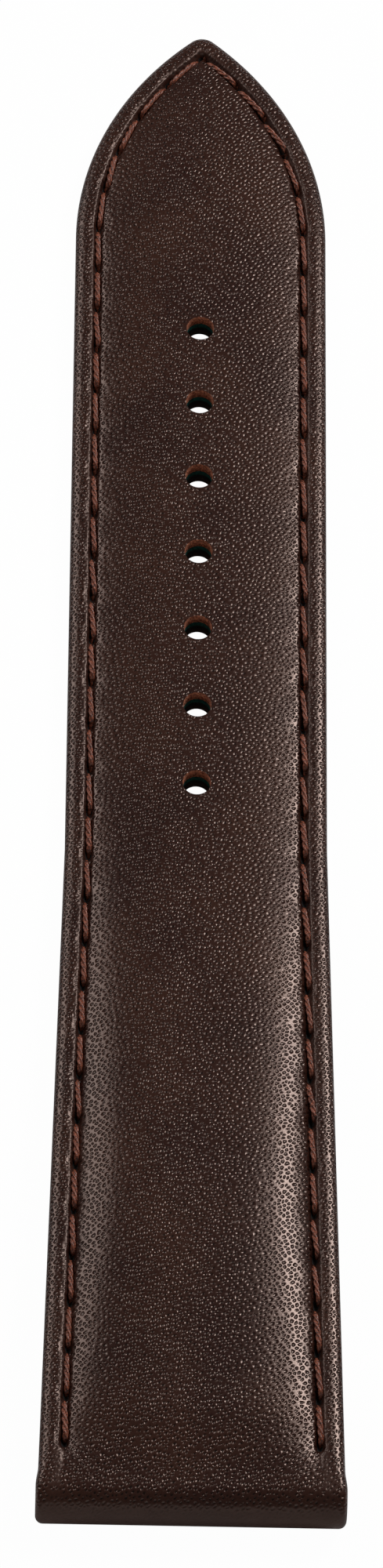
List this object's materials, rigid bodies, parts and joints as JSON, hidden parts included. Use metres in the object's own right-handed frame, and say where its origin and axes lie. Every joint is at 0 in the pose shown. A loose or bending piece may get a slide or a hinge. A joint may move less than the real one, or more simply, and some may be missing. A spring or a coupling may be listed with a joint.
{
  "type": "watch strap half",
  "caption": "Hole-side half of a padded brown calfskin watch strap with turned edges, a sewn seam and a spring bar channel.",
  "frame": {"origin": "centre of the spring bar channel, half way across the strap", "axes": "+X along the spring bar, +Y along the strap towards the pointed tip, +Z out of the grain side"},
  "size_m": [0.0204, 0.12, 0.0043],
  "materials": {
    "calfskin": "semi-gloss aniline calf, dark chocolate, fine pore grain",
    "padding_felt": "soft needled felt, black",
    "filler_board": "matt bonded leather fibre, dark teal",
    "nylon_tape": "thin woven tape, black",
    "lining_leather": "matt smooth lining calf",
    "sewing_thread": "twisted waxed polyester, rust brown",
    "bar_sleeve": "glued textile tube"
  },
  "bodies": {
    "lug_end": {"upper_leather_lug": "calfskin", "padding_lug": "padding_felt", "stiffener_lug": "filler_board", "reinforcing_tape_lug": "nylon_tape", "lining_leather_lug": "lining_leather", "needle_thread_lug": "sewing_thread", "bobbin_thread_lug": "sewing_thread", "bar_sleeve": "bar_sleeve"},
    "strap_2": {"upper_leather_2": "calfskin", "padding_2": "padding_felt", "stiffener_2": "filler_board", "reinforcing_tape_2": "nylon_tape", "lining_leather_2": "lining_leather", "needle_thread_2": "sewing_thread", "bobbin_thread_2": "sewing_thread"},
    "strap_3": {"upper_leather_3": "calfskin", "padding_3": "padding_felt", "stiffener_3": "filler_board", "reinforcing_tape_3": "nylon_tape", "lining_leather_3": "lining_leather", "needle_thread_3": "sewing_thread", "bobbin_thread_3": "sewing_thread"},
    "strap_4": {"upper_leather_4": "calfskin", "padding_4": "padding_felt", "stiffener_4": "filler_board", "reinforcing_tape_4": "nylon_tape", "lining_leather_4": "lining_leather", "needle_thread_4": "sewing_thread", "bobbin_thread_4": "sewing_thread"},
    "strap_5": {"upper_leather_5": "calfskin", "padding_5": "padding_felt", "stiffener_5": "filler_board", "reinforcing_tape_5": "nylon_tape", "lining_leather_5": "lining_leather", "needle_thread_5": "sewing_thread", "bobbin_thread_5": "sewing_thread"},
    "strap_6": {"upper_leather_6": "calfskin", "padding_6": "padding_felt", "stiffener_6": "filler_board", "reinforcing_tape_6": "nylon_tape", "lining_leather_6": "lining_leather", "needle_thread_6": "sewing_thread", "bobbin_thread_6": "sewing_thread"},
    "strap_7": {"upper_leather_7": "calfskin", "padding_7": "padding_felt", "stiffener_7": "filler_board", "reinforcing_tape_7": "nylon_tape", "lining_leather_7": "lining_leather", "needle_thread_7": "sewing_thread", "bobbin_thread_7": "sewing_thread"},
    "strap_tip": {"upper_leather_tip": "calfskin", "padding_tip": "padding_felt", "stiffener_tip": "filler_board", "reinforcing_tape_tip": "nylon_tape", "lining_leather_tip": "lining_leather", "needle_thread_tip": "sewing_thread", "bobbin_thread_tip": "sewing_thread"}
  },
  "joints": [
    {"name": "flex_1", "type": "hinge", "parent": "lug_end", "child": "strap_2", "pos_m": [0, 0.0136, -0.0019], "axis": [-1, 0, 0], "range_deg": [0, 25], "stiffness_Nm_per_rad": 0.06},
    {"name": "flex_2", "type": "hinge", "parent": "strap_2", "child": "strap_3", "pos_m": [0, 0.0276, -0.0019], "axis": [-1, 0, 0], "range_deg": [0, 25], "stiffness_Nm_per_rad": 0.06},
    {"name": "flex_3", "type": "hinge", "parent": "strap_3", "child": "strap_4", "pos_m": [0, 0.0416, -0.0019], "axis": [-1, 0, 0], "range_deg": [0, 25], "stiffness_Nm_per_rad": 0.045},
    {"name": "flex_4", "type": "hinge", "parent": "strap_4", "child": "strap_5", "pos_m": [0, 0.0556, -0.0019], "axis": [-1, 0, 0], "range_deg": [0, 25], "stiffness_Nm_per_rad": 0.03},
    {"name": "flex_5", "type": "hinge", "parent": "strap_5", "child": "strap_6", "pos_m": [0, 0.0696, -0.0019], "axis": [-1, 0, 0], "range_deg": [0, 25], "stiffness_Nm_per_rad": 0.015},
    {"name": "flex_6", "type": "hinge", "parent": "strap_6", "child": "strap_7", "pos_m": [0, 0.0836, -0.0019], "axis": [-1, 0, 0], "range_deg": [0, 25], "stiffness_Nm_per_rad": 0.012},
    {"name": "flex_7", "type": "hinge", "parent": "strap_7", "child": "strap_tip", "pos_m": [0, 0.0976, -0.0019], "axis": [-1, 0, 0], "range_deg": [0, 25], "stiffness_Nm_per_rad": 0.012}
  ]
}
